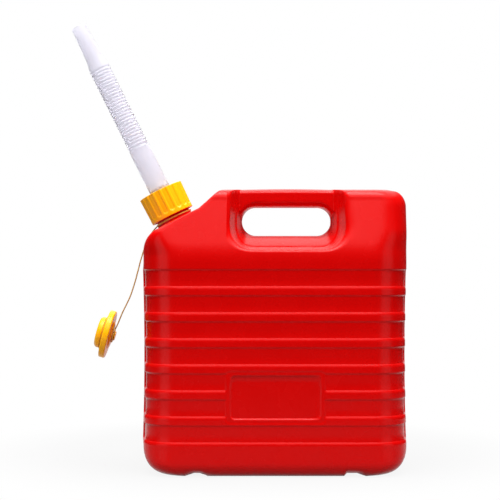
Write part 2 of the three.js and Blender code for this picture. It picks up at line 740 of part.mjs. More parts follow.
function tetherStrap() {
  const low = EYELET_DEPTH;
  const high = EYELET_DEPTH + STRAP_THICK;
  const hole = STUD_RADIUS + FIT_GAP;
  const eyelet = tube([[EYELET_RADIUS, low], [EYELET_RADIUS, high]], [[hole, low], [hole, high]], ROUND_STEPS);
  const overlap = new THREE.Vector3(EYELET_RADIUS - STRAP_THICK, 0, EYELET_DEPTH + STRAP_THICK / 2);
  const end = stopperFrame.localToWorld(overlap);
  const band = strap([...STRAP_ROUTE, [end.x, end.z]]);
  return geometryOf(solid(band).add(solid(eyelet.applyMatrix4(stopperFrame.matrixWorld))));
}

function stopper() {
  const plugLow = STOPPER_THICK + SEAL_THICK + 2 * FIT_GAP;
  const plugHigh = STOPPER_THICK + PLUG_LENGTH;
  return turned([
    [0, HEAD_DEPTH - STUD_HEAD_THICK],
    [STUD_HEAD_RADIUS, HEAD_DEPTH - STUD_HEAD_THICK],
    [STUD_HEAD_RADIUS, HEAD_DEPTH],
    [STUD_RADIUS, HEAD_DEPTH],
    [STUD_RADIUS, -PAD_HEIGHT],
    [PAD_RADIUS, -PAD_HEIGHT],
    [PAD_RADIUS, 0],
    [STOPPER_RADIUS - STOPPER_EDGE, 0],
    [STOPPER_RADIUS, STOPPER_EDGE],
    [STOPPER_RADIUS, STOPPER_THICK - STOPPER_EDGE],
    [STOPPER_RADIUS - STOPPER_EDGE, STOPPER_THICK],
    [SEAL_INNER, STOPPER_THICK],
    [SEAL_INNER, plugLow],
    [PLUG_RADIUS, plugLow],
    [PLUG_RADIUS, plugHigh - PLUG_CHAMFER],
    [PLUG_RADIUS - PLUG_CHAMFER, plugHigh],
    [0, plugHigh],
  ], ROUND_STEPS);
}

function stopperSeal() {
  const low = STOPPER_THICK + FIT_GAP;
  const high = low + SEAL_THICK;
  const inner = SEAL_INNER + FIT_GAP;
  const outer = NECK_BORE + SEAL_PROUD;
  return tube([[outer, low], [outer, high]], [[inner, low], [inner, high]], ROUND_STEPS);
}

const canRed = { color: 0xbe0604, roughness: 0.38, metalness: 0 };
const amber = { color: 0xf0a00c, roughness: 0.35, metalness: 0 };
const frosted = { color: 0xe6e5ee, roughness: 0.3, metalness: 0, transparent: true, opacity: 0.6 };
const blackRubber = { color: 0x1b1b1c, roughness: 0.8, metalness: 0 };
const orangeRubber = { color: 0xd98200, roughness: 0.7, metalness: 0 };
const tan = { color: 0xb59a6a, roughness: 0.45, metalness: 0 };

function piece(name, geometry, finish) {
  const mesh = new THREE.Mesh(geometry, new THREE.MeshStandardMaterial(finish));
  mesh.name = name;
  return mesh;
}

neckFrame.add(
  piece('tether_ring', tetherRing(), tan),
  piece('spout_gasket', spoutGasket(), blackRubber),
  piece('spout_base', spoutBase(), frosted),
  piece('spout_bellows', spoutBellows(), frosted),
  piece('spout_nozzle', spoutNozzle(), frosted),
  piece('collar_nut', collarNut(), amber),
);
stopperFrame.add(
  piece('stopper', stopper(), amber),
  piece('stopper_seal', stopperSeal(), orangeRubber),
);

const fuelCan = new THREE.Group();
fuelCan.add(
  piece('can_body', canBody(), canRed),
  neckFrame,
  stopperFrame,
  piece('tether_strap', tetherStrap(), tan),
);

export default fuelCan;
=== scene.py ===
import math

import bmesh
import bpy
from mathutils import Matrix, Vector


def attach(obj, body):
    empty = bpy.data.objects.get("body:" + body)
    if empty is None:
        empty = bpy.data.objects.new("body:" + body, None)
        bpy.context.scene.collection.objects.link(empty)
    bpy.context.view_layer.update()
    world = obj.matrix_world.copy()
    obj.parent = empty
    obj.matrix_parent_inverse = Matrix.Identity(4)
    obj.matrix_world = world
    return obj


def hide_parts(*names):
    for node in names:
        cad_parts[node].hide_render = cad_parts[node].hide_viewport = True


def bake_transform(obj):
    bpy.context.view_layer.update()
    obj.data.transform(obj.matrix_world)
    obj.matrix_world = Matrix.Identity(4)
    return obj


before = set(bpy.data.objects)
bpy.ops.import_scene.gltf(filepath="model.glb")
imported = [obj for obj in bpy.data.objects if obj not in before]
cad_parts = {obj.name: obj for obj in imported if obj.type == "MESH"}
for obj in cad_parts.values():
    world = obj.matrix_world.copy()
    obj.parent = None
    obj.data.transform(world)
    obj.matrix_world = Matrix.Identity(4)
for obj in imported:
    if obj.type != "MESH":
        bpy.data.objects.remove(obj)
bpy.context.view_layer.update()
scene = bpy.context.scene

# Camera: level and 1.5 m in front of the can, with a long lens.
# The lens is shifted so that the horizon lies a little below the middle of the picture.
camera_data = bpy.data.cameras.new("camera")
camera_data.lens = 96.12
camera_data.sensor_width = 36
camera_data.shift_y = 0.05
camera = bpy.data.objects.new("camera", camera_data)
camera.location = (-0.02725, -1.5, 0.2166)
camera.rotation_euler = (math.radians(90), 0, 0)
scene.collection.objects.link(camera)
scene.camera = camera

# Can body: one hollow shell blow-moulded from red polyethylene in two half moulds that part at y = 0.
# Its front half is a surface seen square on, with six ribs, a framed label panel, a leaning shoulder,
# the hand recess with its finger hole and the bar over it; the back half is the same, mirrored.
HALF_WIDTH = 144.0
HALF_DEPTH = 75.0
BASE_SIDE = 30.0
BASE_FRONT = 14.0
PLAN_CORNER = 38.0
CORNER_LIMIT = 0.8
BASE_CORNER_LOSS = 14.0
LEFT_CORNER_LOSS = 35.0
RIGHT_CORNER_LOSS = 8.0
WAIST = 1.5
SIDE_BOW = 2.8
BOW_RISE = 14.0
BOW_FALL = 20.0
CREASE = 241.0
CREASE_SPREAD = 11.0
LEAN = math.tan(math.radians(14))
TOP = 308.5
TOP_EDGE = 10.0
TOP_CORNER = 20.5
CROWN = 3.2
TOP_LIFT = 4.5
NECK_X = -110.0
NECK_Z = 275.2
NECK_TILT = math.radians(26.5)
ARC = 28.0
ARC_X = ARC - HALF_WIDTH
ARC_Z = NECK_Z - (ARC - (ARC_X - NECK_X) * math.sin(NECK_TILT)) / math.cos(NECK_TILT)
ARC_END = ARC_Z + ARC * math.cos(NECK_TILT)
LEFT_CORNER_FADE = (CREASE - 6, ARC_END + 14)
CHAMFER_X = -82.5
CHAMFER_Z = NECK_Z + (CHAMFER_X - NECK_X) * math.tan(NECK_TILT)
CHAMFER = math.radians(42.3)
CHAMFER_ROUND = 20.0
RIBS = 6
RIB_PITCH = 27.83
RIB_HEIGHT = 8.8
BASE_BAND = 36.2
BAND_DEPTH = 2.1
FRONT_DEPTH = 1.15
FRONT_LEAN = 0.5
BAND_EDGE = 1.25
UNDER_EDGE = 0.8
RIB_FOOT = 1.5
RIB_ROUND = 3.5
BAND_CORNER = 5.0
BAND_TURN = 2.0
STRIP = 13.2
STRIP_EDGE = STRIP + 3
PANEL_HALF = (48.3, 23.0)
PANEL_Z = 85.5
PANEL_FRAME = 5.0
PANEL_CORNER = 5.0
PANEL_DEPTH = 1.2
PANEL_SET_BACK = 0.3
PANEL_EDGE = 1.1
HOLE = (-36.2, 63.1, 260.5, 291.8)
HOLE_RADIUS = (HOLE[3] - HOLE[2]) / 2
HOLE_MIDDLE = (HOLE[3] + HOLE[2]) / 2
HOLE_CUT = 0.5
THROAT_DEPTH = 30.0
THROAT_SPREAD = 6.0
MOUTH_SPREAD = 8.5
THROAT_LEDGE = 0.9
LEDGE_SPREAD = 0.04
THROAT_DROP = 12.7
MOUTH_DROP = 3.2
RECESS_SQUARE = 2.5
RECESS_LOW = CREASE - 12
RECESS_STEP = 6.2
RECESS_HALVINGS = 26
MOUTH_EDGE = 6.0
MOUTH_EDGE_SHARE = 0.3
MOUTH_ROUND = (-0.115, 0.876)
BAR_DEPTH = 18.0
BAR_START = HOLE_MIDDLE + 12
BAR_HALF = 62.0
BAR_LOW_ROUND = 6.0
BAR_TOP_ROUND = 4.5
BAR_RISE = 1.1
BAR_FILLET = 8.0
GROOVE_X = 84.5
GROOVE_HALF = 11.0
GROOVE_DEPTH = 3.3
GROOVE_EDGE = 4.0
GROOVE_FADE = (1.0, 10.0)
LEFT_FIXED = -52.0
RIGHT_FIXED = 80.0
ROW_GAP = 0.12
MERGE = 0.002
TINT_SCALE = 38
WAVE_SCALE = 22
GLOSS_SPREAD = 0.06


def ramp(low, high, value):
    """Smooth step, 0 up to low and 1 from high."""
    share = min(max((value - low) / (high - low), 0.0), 1.0)
    return share * share * (3 - 2 * share)


def waist(z):
    """How far the sides draw in between the base and the shoulder."""
    low = BASE_BAND
    high = BASE_BAND + (RIBS + 1) * RIB_PITCH - RIB_HEIGHT
    share = (2 * z - low - high) / (high - low)
    return WAIST * max(0.0, 1 - share * share)


def base_inset(z, radius):
    """Inset of the rounded lower edge."""
    return radius - math.sqrt(radius ** 2 - max(0.0, radius - z) ** 2)


def left_edge(z):
    """The left side's x, with the arc, the neck's seat and the chamfer up to the top."""
    if z < ARC_Z:
        return -HALF_WIDTH + base_inset(z, BASE_SIDE) + waist(z)
    if z < ARC_END:
        return ARC_X - math.sqrt(ARC ** 2 - (z - ARC_Z) ** 2)
    if z < CHAMFER_Z:
        return NECK_X + (z - NECK_Z) / math.tan(NECK_TILT)
    centre_z = TOP + CROWN - CHAMFER_ROUND
    touch_z = centre_z + CHAMFER_ROUND * math.cos(CHAMFER)
    touch_x = CHAMFER_X + (touch_z - CHAMFER_Z) / math.tan(CHAMFER)
    if z < touch_z:
        return CHAMFER_X + (z - CHAMFER_Z) / math.tan(CHAMFER)
    centre_x = touch_x + CHAMFER_ROUND * math.sin(CHAMFER)
    arc_x = centre_x - math.sqrt(max(CHAMFER_ROUND ** 2 - (z - centre_z) ** 2, 0.0))
    return min(arc_x, LEFT_FIXED - 1)


def right_edge(z):
    """The right side's x."""
    centre_z = TOP + CROWN - TOP_CORNER
    if z < centre_z:
        return HALF_WIDTH - base_inset(z, BASE_SIDE) - waist(z)
    return HALF_WIDTH - TOP_CORNER + math.sqrt(max(TOP_CORNER ** 2 - (z - centre_z) ** 2, 0.0))


def leaning(z):
    """Half depth with the crease under the leaning shoulder softened."""
    past = z - CREASE
    if past < -CREASE_SPREAD:
        return HALF_DEPTH
    if past < CREASE_SPREAD:
        return HALF_DEPTH - LEAN * (past + CREASE_SPREAD) ** 2 / (4 * CREASE_SPREAD)
    return HALF_DEPTH - LEAN * past


def half_depth(z):
    """The front's distance from the parting plane."""
    if z < BASE_FRONT:
        return HALF_DEPTH - base_inset(z, BASE_FRONT)
    start = TOP - TOP_EDGE
    if z < start:
        return leaning(z)
    core = leaning(start) - TOP_EDGE
    if z < TOP:
        return core + math.sqrt(TOP_EDGE ** 2 - (z - start) ** 2)
    return core * math.sqrt(max(0.0, 1 - (z - TOP) / CROWN))


def band_share(y, z):
    """1 in the recessed bands and 0 on the ribs, rounded from above, and on the strip at the parting line."""
    height = RIB_PITCH - RIB_HEIGHT
    share = 0.0
    for i in range(RIBS + 1):
        above = z - BASE_BAND - i * RIB_PITCH - height / 2
        dy = STRIP + BAND_CORNER - abs(y)
        dz = abs(above) - height / 2 + BAND_CORNER
        gap = math.hypot(max(dy, 0), max(dz, 0)) + min(max(dy, dz), 0) - BAND_CORNER
        if above > 0:
            level = 1 - ramp(-UNDER_EDGE, UNDER_EDGE, gap)
        else:
            level = (1 - min(max((gap + RIB_FOOT) / (RIB_FOOT + RIB_ROUND), 0.0), 1.0)) ** 3
        upright = 1 - ramp(-BAND_EDGE, BAND_EDGE, gap)
        share += upright + (level - upright) * ramp(-BAND_TURN, BAND_TURN, dz - dy)
    return share


def front_depth(z):
    """Depth of the bands on the front, which lean out towards the rib above."""
    height = RIB_PITCH - RIB_HEIGHT
    i = min(max(round((z - BASE_BAND - height / 2) / RIB_PITCH), 0), RIBS)
    share = min(max((z - BASE_BAND - i * RIB_PITCH) / height, 0.0), 1.0)
    return FRONT_DEPTH * (1 - FRONT_LEAN * share)


def rounded_distance(x, z, grow):
    """Distance outside the label panel's rounded outline."""
    corner = PANEL_CORNER
    dx = abs(x) - (PANEL_HALF[0] + grow - corner)
    dz = abs(z - PANEL_Z) - (PANEL_HALF[1] + grow - corner)
    return math.hypot(max(dx, 0), max(dz, 0)) + min(max(dx, dz), 0) - corner


def front_inset(x, z):
    """Inset of the bands, the label's frame and the label panel on the front."""
    inset = front_depth(z) * band_share(HALF_DEPTH, z)
    in_frame = 1 - ramp(-PANEL_EDGE, PANEL_EDGE, rounded_distance(x, z, PANEL_FRAME))
    in_panel = 1 - ramp(-PANEL_EDGE, PANEL_EDGE, rounded_distance(x, z, 0))
    return inset * (1 - in_frame) + in_frame * (PANEL_SET_BACK + PANEL_DEPTH * in_panel)


def hole_distance(x, z):
    """Distance outside the finger hole, and the nearest point of its middle line."""
    core = min(max(x, HOLE[0] + HOLE_RADIUS), HOLE[1] - HOLE_RADIUS)
    return math.hypot(x - core, z - HOLE_MIDDLE) - HOLE_RADIUS, core


def recess_step(x, z):
    """0 on the finger hole's edge, 1 on the throat and 2 on the mouth of the hand recess."""
    out = max(HOLE[0] + HOLE_RADIUS - x, x - HOLE[1] + HOLE_RADIUS, 0.0)
    down = max(HOLE[2] + HOLE_RADIUS - z, 0.0)
    low = -1.0
    high = 5.0
    for _ in range(RECESS_HALVINGS):
        step = (low + high) / 2
        past = max(step - 1, 0.0)
        ledge = THROAT_LEDGE * ramp(1 - LEDGE_SPREAD, 1 + LEDGE_SPREAD, step)
        wide = HOLE_RADIUS + THROAT_SPREAD * min(step, 1) + MOUTH_SPREAD * past + ledge
        tall = HOLE_RADIUS + THROAT_DROP * min(step, 1) + MOUTH_DROP * past + ledge
        if (out / wide) ** RECESS_SQUARE + (down / tall) ** RECESS_SQUARE > 1:
            low = step
        else:
            high = step
    return (low + high) / 2


def smooth_max(a, b, spread):
    """The larger of two values, with a fillet where they meet."""
    near = max(spread - abs(a - b), 0.0) / spread
    return max(a, b) + near * near * spread / 4


def top_of(x):
    """Height of the top at the parting line, a little higher over the bar."""
    middle = (HOLE[0] + HOLE[1]) / 2
    share = (x - middle) / BAR_HALF
    return TOP + CROWN + BAR_RISE * max(0.0, 1 - share * share)


def bar_reach(x, z):
    """The bar's distance in front of the parting plane."""
    gap, _ = hole_distance(x, z)
    if z <= HOLE_MIDDLE or gap <= 0:
        return 0.0
    low = math.sqrt(1 - (1 - min(gap / BAR_LOW_ROUND, 1.0)) ** 2)
    high = math.sqrt(1 - (1 - min(max(TOP + CROWN - z, 0.0) / BAR_TOP_ROUND, 1.0)) ** 2)
    return BAR_DEPTH * low * high * ramp(HOLE_MIDDLE, BAR_START, z)


def front_reach(x, z, reach):
    """Distance of the front from the parting plane at x, z, with the hand recess and the bar cut in."""
    if z < RECESS_LOW or x < LEFT_FIXED or x > RIGHT_FIXED:
        return reach
    step = recess_step(x, z)
    deep = THROAT_DEPTH
    outer = HALF_DEPTH - deep
    mouth = 1 + (reach - deep) / outer if reach > deep else reach / deep
    edge = min(MOUTH_EDGE, MOUTH_EDGE_SHARE * reach)
    past = (step - mouth) * RECESS_STEP
    if past >= MOUTH_ROUND[1] * edge:
        wall = reach
    elif past > MOUTH_ROUND[0] * edge:
        wall = reach - edge + math.sqrt(max(edge ** 2 - (MOUTH_ROUND[1] * edge - past) ** 2, 0.0))
    else:
        wall = deep * step if step < 1 else deep + outer * (step - 1)
    wall = min(max(wall, 0.0), reach)
    return min(smooth_max(wall, bar_reach(x, z), BAR_FILLET), max(reach, BAR_DEPTH))


def body_point(column, z, flat):
    """One point of the front half. A column is a kind and its place round the half section."""
    kind, value = column
    reach = half_depth(z)
    left = left_edge(z)
    right = right_edge(z)
    base = ramp(BASE_SIDE, 0, z) if z < BASE_SIDE else 0.0
    high = ramp(CREASE, ARC_END, z)
    usual_corner = PLAN_CORNER - BASE_CORNER_LOSS * base
    left_corner = min(usual_corner - LEFT_CORNER_LOSS * ramp(*LEFT_CORNER_FADE, z), CORNER_LIMIT * reach)
    right_corner = min(usual_corner - RIGHT_CORNER_LOSS * high, CORNER_LIMIT * reach)
    corner = left_corner if kind.startswith("left") else right_corner
    edge = left if kind.startswith("left") else right
    outward = -1 if kind.startswith("left") else 1
    centre = edge - outward * corner
    if kind.endswith("side"):
        flat_part = reach - corner
        usual = HALF_DEPTH - PLAN_CORNER
        if flat_part < usual:
            y = -value * flat_part / usual
        elif value < STRIP_EDGE:
            y = -value
        else:
            y = -STRIP_EDGE - (value - STRIP_EDGE) * (flat_part - STRIP_EDGE) / (usual - STRIP_EDGE)
        inset = BAND_DEPTH * band_share(y, z)
        bow = SIDE_BOW * ramp(BASE_BAND - BOW_RISE, BASE_BAND, z) * (1 - ramp(CREASE - BOW_FALL, CREASE, z))
        x = edge + outward * (bow * (1 - (y / usual) ** 2) - inset)
    elif kind.endswith("arc"):
        depth = BAND_DEPTH + (front_depth(z) - BAND_DEPTH) * math.sin(value) ** 2
        inset = depth * band_share(HALF_DEPTH, z)
        x = centre + outward * (corner - inset) * math.cos(value)
        y = corner - reach - (corner - inset) * math.sin(value)
    else:
        x = value
        if value < LEFT_FIXED:
            start = left + left_corner
            share = (value + HALF_WIDTH - PLAN_CORNER) / (LEFT_FIXED + HALF_WIDTH - PLAN_CORNER)
            x = start + share * (LEFT_FIXED - start)
        elif value > RIGHT_FIXED:
            end = right - right_corner
            share = (value - RIGHT_FIXED) / (HALF_WIDTH - PLAN_CORNER - RIGHT_FIXED)
            x = RIGHT_FIXED + share * (end - RIGHT_FIXED)
        y = -front_reach(x, z, reach - front_inset(x, z))
    y *= flat
    groove = 1 - ramp(GROOVE_HALF - GROOVE_EDGE, GROOVE_HALF, abs(abs(x) - GROOVE_X))
    lift = GROOVE_DEPTH * groove * (1 - ramp(*GROOVE_FADE, z))
    if z > TOP - TOP_LIFT:
        lift += (z - TOP + TOP_LIFT) * (top_of(x) - TOP - CROWN) / (CROWN + TOP_LIFT)
    return Vector((x, y, z + lift))


def steps(low, high, size):
    """Evenly spaced values from low up to high."""
    count = max(1, round((high - low) / size))
    return [low + (high - low) * i / count for i in range(count)]


def ordered(parts, place):
    """Sorts points or faces by place, so that each run numbers them alike."""
    by_place = sorted(parts, key=lambda part: [round(c, 3) for c in place(part)])
    order = {part: i for i, part in enumerate(by_place)}
    parts.sort(key=lambda part: order[part])


def finished(name, bm, material):
    """A shown mesh object from a bmesh in millimetres."""
    bmesh.ops.remove_doubles(bm, verts=bm.verts, dist=MERGE)
    bmesh.ops.recalc_face_normals(bm, faces=bm.faces)
    ordered(bm.verts, lambda vert: vert.co)
    ordered(bm.faces, lambda face: face.calc_center_median())
    bmesh.ops.scale(bm, vec=(0.001, 0.001, 0.001), verts=bm.verts)
    mesh = bpy.data.meshes.new(name)
    bm.to_mesh(mesh)
    bm.free()
    mesh.shade_smooth()
    mesh.materials.append(material)
    piece = bpy.data.objects.new(name, mesh)
    scene.collection.objects.link(piece)
    return piece


def moulded(name, colour, roughness, gleam, waves, tint):
    """Moulded plastic with slow waves and a slight change of colour and gloss."""
    material = bpy.data.materials.new(name)
    material.use_nodes = True
    nodes = material.node_tree.nodes
    links = material.node_tree.links
    shader = nodes["Principled BSDF"]
    place = nodes.new("ShaderNodeTexCoord")
    shader.inputs["Base Color"].default_value = (*colour, 1)
    shader.inputs["Roughness"].default_value = roughness
    shader.inputs["Specular IOR Level"].default_value = gleam

    slow = nodes.new("ShaderNodeTexNoise")
    slow.inputs["Scale"].default_value = TINT_SCALE
    slow.inputs["Detail"].default_value = 4
    links.new(place.outputs["Object"], slow.inputs["Vector"])
    shade = nodes.new("ShaderNodeMix")
    shade.data_type = "RGBA"
    shade.inputs["A"].default_value = (*[c * (1 - tint) for c in colour], 1)
    shade.inputs["B"].default_value = (*[min(c * (1 + tint), 1) for c in colour], 1)
    links.new(slow.outputs["Fac"], shade.inputs["Factor"])
    links.new(shade.outputs["Result"], shader.inputs["Base Color"])
    gloss = nodes.new("ShaderNodeMapRange")
    gloss.inputs["To Min"].default_value = roughness - GLOSS_SPREAD
    gloss.inputs["To Max"].default_value = roughness + GLOSS_SPREAD
    links.new(slow.outputs["Fac"], gloss.inputs["Value"])
    links.new(gloss.outputs["Result"], shader.inputs["Roughness"])

    if not waves:
        return material
    broad = nodes.new("ShaderNodeTexNoise")
    broad.inputs["Scale"].default_value = WAVE_SCALE
    broad.inputs["Detail"].default_value = 1
    links.new(place.outputs["Object"], broad.inputs["Vector"])
    wavy = nodes.new("ShaderNodeBump")
    wavy.inputs["Strength"].default_value = 1
    wavy.inputs["Distance"].default_value = waves
    links.new(broad.outputs["Fac"], wavy.inputs["Height"])
    links.new(wavy.outputs["Normal"], shader.inputs["Normal"])
    return material


side_places = [0, 0.7, 5, 9.5, 11.6, 12.3, 13, 13.7, 14.4, 15.5, 17, 19, 23, 30]
quarter = [math.radians(9 * i) for i in range(11)]
front_places = steps(-106, -58, 8) + steps(-58, -50, 0.75) + steps(-50, -34, 0.4) + steps(-34, -20, 1)
front_places = front_places[1:] + steps(-20, 47, 4) + steps(47, 61, 1) + steps(61, 77, 0.4)
front_places += steps(77, 80, 0.75) + steps(80, 106, 5)
columns = [("left_side", v) for v in side_places]
columns += [("left_arc", a) for a in quarter]
columns += [("left_front" if x < 0 else "right_front", x) for x in front_places]
columns += [("right_arc", a) for a in quarter[::-1]]
columns += [("right_side", v) for v in side_places[::-1]]

heights = [0, 0.25, 0.9, 2, 3.6, 5.6, 8, 10.8, 14, 18, 22.5, 27, 31]
for i in range(RIBS + 1):
    low = BASE_BAND + i * RIB_PITCH
    high = low + RIB_PITCH - RIB_HEIGHT
    heights += [low + shift for shift in (-3.5, -2.4, -1.5, -0.7, 0, 0.6, 1.1, 1.4, 1.65)]
    heights += [high + shift for shift in (-2, -0.9, -0.5, -0.2, 0.2, 0.5, 0.9, 2)]
    heights += [low + 9.5, high + 4.4]
for edge in (-PANEL_HALF[1] - PANEL_FRAME, -PANEL_HALF[1], PANEL_HALF[1], PANEL_HALF[1] + PANEL_FRAME):
    heights += [PANEL_Z + edge + shift for shift in (-1, -0.4, 0.4, 1)]
heights += steps(229, 236, 2.3) + steps(236, HOLE[2], 0.7) + steps(HOLE[2], HOLE[3], 1.25)
heights += [HOLE[3] + rise for rise in (0, 0.15, 0.5, 1.1, 2, 3.2, 4.8, 6.6, 8.4, 10.2)]
heights += steps(303, TOP, 0.8)
heights += [TOP + CROWN * share for share in (0, 0.1, 0.25, 0.42, 0.6, 0.77, 0.9, 0.975)]
rows = [(0, 0.0), (0, 0.35), (0, 0.65), (0, 0.88)]
last = -1.0
for z in sorted(heights):
    if z - last > ROW_GAP:
        rows.append((z, 1.0))
        last = z
rows.append((TOP + CROWN, 0.0))

body_bm = bmesh.new()
bmesh.ops.create_grid(body_bm, x_segments=len(columns) - 1, y_segments=len(rows) - 1, size=1)
inside = set()
for vert in body_bm.verts:
    i = round((vert.co.x + 1) / 2 * (len(columns) - 1))
    j = round((vert.co.y + 1) / 2 * (len(rows) - 1))
    vert.co = body_point(columns[i], *rows[j])
    if hole_distance(vert.co.x, vert.co.z)[0] < -HOLE_CUT:
        inside.add(vert)
edge_verts = set()
for vert in inside:
    for face in vert.link_faces:
        edge_verts.update(v for v in face.verts if v not in inside)
for vert in edge_verts:
    gap, core = hole_distance(vert.co.x, vert.co.z)
    outward = Vector((vert.co.x - core, 0, vert.co.z - HOLE_MIDDLE)).normalized()
    vert.co = Vector((core, 0, HOLE_MIDDLE)) + HOLE_RADIUS * outward
bmesh.ops.delete(body_bm, geom=list(inside), context="VERTS")
bmesh.ops.remove_doubles(body_bm, verts=body_bm.verts, dist=MERGE)
half = body_bm.verts[:] + body_bm.edges[:] + body_bm.faces[:]
bmesh.ops.mirror(body_bm, geom=half, axis="Y", merge_dist=MERGE)
can_red = moulded("can_red", (0.53, 0.0004, 0.0002), 0.27, 0.13, 0.00006, 0.03)
body = finished("body", body_bm, can_red)
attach(body, "can")
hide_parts("can_body")

# Neck: a threaded spout neck moulded in one with the body, square to the slanted seat.
# It has a short foot that the tether's ring lies on, a plain wall and two turns of thread.
NECK_RADIUS = 19.6
NECK_BORE = 17.7
NECK_HEIGHT = 32.2
NECK_FOOT = (20.6, 5.0)
NECK_SUNK = 6.0
THREAD_CREST = 21.0
THREAD_START = 17.2
THREAD_PITCH = 5.0
THREAD_TURNS = 2
NECK_STEPS = 96
EASE_LIMIT = 0.48
EASE_POINTS = 6
neck_place = Matrix.Translation((NECK_X, 0, NECK_Z)) @ Matrix.Rotation(-NECK_TILT, 4, "Y")


def eased(profile):
    """A profile of (radius, height, rounding) points with its corners rounded."""
    points = []
    for i, (radius, height, rounding) in enumerate(profile):
        here = Vector((radius, height))
        before = Vector(profile[i - 1][:2]) - here
        after = Vector(profile[(i + 1) % len(profile)][:2]) - here
        cut = min(rounding, EASE_LIMIT * before.length, EASE_LIMIT * after.length)
        if cut < 0.01:
            points.append(here)
            continue
        start = here + cut * before.normalized()
        end = here + cut * after.normalized()
        for k in range(EASE_POINTS):
            t = k / (EASE_POINTS - 1)
            points.append((1 - t) ** 2 * start + 2 * t * (1 - t) * here + t * t * end)
    return points


def turned(bm, profile, count, place, closed=True):
    """Turns a profile of (radius, height) points about the Z axis of a place."""
    verts = [bm.verts.new((p[0], 0, p[1])) for p in profile]
    pairs = list(zip(verts, verts[1:]))
    if closed:
        pairs.append((verts[-1], verts[0]))
    edges = [bm.edges.new(pair) for pair in pairs]
    before = set(bm.verts) - set(verts)
    bmesh.ops.spin(
        bm, geom=verts + edges, cent=(0, 0, 0), axis=(0, 0, 1),
        angle=2 * math.pi, steps=count, use_merge=True, use_duplicate=False,
    )
    fresh = [v for v in bm.verts if v not in before]
    bmesh.ops.transform(bm, matrix=place, verts=fresh)
    return fresh


def weighted(piece):
    """Keeps flat faces flat beside their rounded edges."""
    modifier = piece.modifiers.new("weighted", "WEIGHTED_NORMAL")
    modifier.mode = "FACE_AREA"
    modifier.weight = 60
    return piece


neck_bm = bmesh.new()
turned(neck_bm, eased([
    (NECK_BORE, -NECK_SUNK, 0),
    (NECK_FOOT[0], -NECK_SUNK, 0),
    (NECK_FOOT[0], NECK_FOOT[1], 0.8),
    (NECK_RADIUS, NECK_FOOT[1], 0.5),
    (NECK_RADIUS, NECK_HEIGHT, 0.7),
    (NECK_BORE, NECK_HEIGHT, 0.7),
]), NECK_STEPS, neck_place)
thread_section = (
    (NECK_RADIUS - 0.3, -1.3), (NECK_RADIUS, -1.2), (THREAD_CREST - 0.2, -0.55), (THREAD_CREST, -0.3),
    (THREAD_CREST, 0.3), (THREAD_CREST - 0.2, 0.55), (NECK_RADIUS, 1.2), (NECK_RADIUS - 0.3, 1.3),
)
thread = [neck_bm.verts.new((r, 0, THREAD_START + s)) for r, s in thread_section]
thread_face = neck_bm.faces.new(thread)
old_verts = set(neck_bm.verts) - set(thread)
bmesh.ops.spin(
    neck_bm, geom=[thread_face] + list(thread_face.edges) + thread, cent=(0, 0, 0), axis=(0, 0, 1),
    dvec=(0, 0, THREAD_PITCH / NECK_STEPS), angle=2 * math.pi * THREAD_TURNS, steps=NECK_STEPS * THREAD_TURNS,
    use_merge=False, use_duplicate=False,
)
bmesh.ops.transform(neck_bm, matrix=neck_place, verts=[v for v in neck_bm.verts if v not in old_verts])
neck = weighted(finished("neck", neck_bm, can_red))
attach(neck, "can")

# Tether ring: a thin moulded ring that lies loose on the neck's foot, under the collar nut.
# The strap is moulded on to its edge, and ring and strap turn on the neck together.
RING = (20.0, 21.4, 5.3, 6.8)
RING_EDGE = 0.35
tether_plastic = moulded("tether_plastic", (0.6, 0.37, 0.06), 0.4, 0.3, 0.0, 0.03)
ring_bm = bmesh.new()
turned(ring_bm, eased([
    (RING[0], RING[2], RING_EDGE), (RING[1], RING[2], RING_EDGE),
    (RING[1], RING[3], RING_EDGE), (RING[0], RING[3], RING_EDGE),
]), NECK_STEPS, neck_place)
ring = weighted(finished("ring", ring_bm, tether_plastic))
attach(ring, "tether_ring")
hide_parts("tether_ring")

# Tether strap: a flat moulded polyethylene strap that hangs from the ring on the neck to the stopper.
# It is 6 mm wide, 1 mm thick and about 130 mm long, and it hangs in a long slack curve.
STRAP_HALF_WIDTH = 3.0
STRAP_HALF_THICK = 0.5
STRAP_EDGE = 0.3
STRAP_ROUND = 0.29
STRAP_LINE = [
    (-130.6, 271.7), (-133.6, 268.9), (-136.4, 265.5), (-139.2, 261.4), (-142.6, 254.9), (-145.9, 246.6),
    (-148.6, 237.9), (-150.6, 231.2), (-152.3, 224.3), (-154.1, 217.6), (-155.8, 211.0), (-158.9, 200.9),
    (-162.1, 191.9), (-165.5, 184.6), (-168.6, 178.4), (-170.8, 173.8), (-172.7, 169.2), (-175.8, 161.6),
    (-179.0, 155.0),
]
STRAP_STATIONS = 38
STRAP_SPANS = 12


def smooth_line(points, count):
    """Evenly spaced points on a smooth curve through these (x, z) points."""
    ends = [points[0]] + points + [points[-1]]
    dense = []
    for a, b, c, d in zip(ends, ends[1:], ends[2:], ends[3:]):
        for step in range(STRAP_SPANS):
            t = step / STRAP_SPANS
            dense.append(Vector([
                0.5 * (2 * q + (r - p) * t + (2 * p - 5 * q + 4 * r - s) * t * t + (3 * q - p - 3 * r + s) * t ** 3)
                for p, q, r, s in zip(a, b, c, d)
            ]))
    dense.append(Vector(points[-1]))
    walked = [0.0]
    for here, there in zip(dense, dense[1:]):
        walked.append(walked[-1] + (there - here).length)
    line = []
    k = 0
    for i in range(count):
        target = walked[-1] * i / (count - 1)
        while k < len(dense) - 2 and walked[k + 1] < target:
            k += 1
        share = (target - walked[k]) / (walked[k + 1] - walked[k])
        line.append(dense[k].lerp(dense[k + 1], min(share, 1.0)))
    return line


